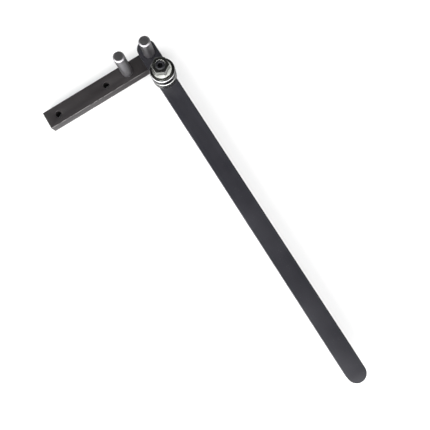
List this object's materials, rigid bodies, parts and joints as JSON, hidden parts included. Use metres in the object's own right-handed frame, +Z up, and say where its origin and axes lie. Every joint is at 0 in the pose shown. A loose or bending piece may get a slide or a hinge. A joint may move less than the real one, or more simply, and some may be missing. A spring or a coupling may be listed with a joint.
{
  "type": "gate opener arm",
  "caption": "Long flat lever arm swinging on a bolt-down base bar, with two upright round pins and a ball-bearing roller under a flange nut.",
  "frame": {"origin": "midway between the two mounting holes, on the underside of the base bar", "axes": "+X along the base bar towards the pivot, +Z up along the pins, -Y along the swing arm at rest"},
  "size_m": [0.1482, 0.4099, 0.0493],
  "materials": {
    "bar_steel": "satin",
    "pin_steel": "satin",
    "zinc_steel": "bright zinc",
    "bearing_steel": "ground",
    "black_steel": "black oxide",
    "cage_steel": "pressed"
  },
  "bodies": {
    "base": {"base_bar": "bar_steel", "stop_pin": "pin_steel", "stop_pin_screw": "black_steel", "pivot_pin": "pin_steel", "pivot_pin_screw": "black_steel"},
    "arm": {"swing_arm": "bar_steel", "roller_stud": "black_steel", "washer": "zinc_steel", "spacer_ring": "zinc_steel", "shim_ring": "zinc_steel", "bearing_inner_ring": "bearing_steel", "nut_collar": "zinc_steel", "flange_nut": "zinc_steel"},
    "roller": {"bearing_outer_ring": "bearing_steel", "bearing_shield_lower": "zinc_steel", "bearing_shield_upper": "zinc_steel"},
    "cage": {"ball_cage": "cage_steel", "ball_1": "bearing_steel", "ball_2": "bearing_steel", "ball_3": "bearing_steel", "ball_4": "bearing_steel", "ball_5": "bearing_steel", "ball_6": "bearing_steel", "ball_7": "bearing_steel"}
  },
  "joints": [
    {"name": "arm_swing", "type": "hinge", "parent": "base", "child": "arm", "pos_m": [0.087, 0, 0.0101], "axis": [0, 0, 1], "range_deg": [-54, 232]},
    {"name": "roller_spin", "type": "hinge", "parent": "arm", "child": "roller", "pos_m": [0.08756, -0.032, 0.034], "axis": [0, 0, 1], "continuous": true},
    {"name": "cage_turn", "type": "hinge", "parent": "arm", "child": "cage", "pos_m": [0.08756, -0.032, 0.034], "axis": [0, 0, 1], "continuous": true}
  ],
  "couplings": [
    {"joint": "cage_turn", "follows": "roller_spin", "ratio": 0.6323}
  ]
}
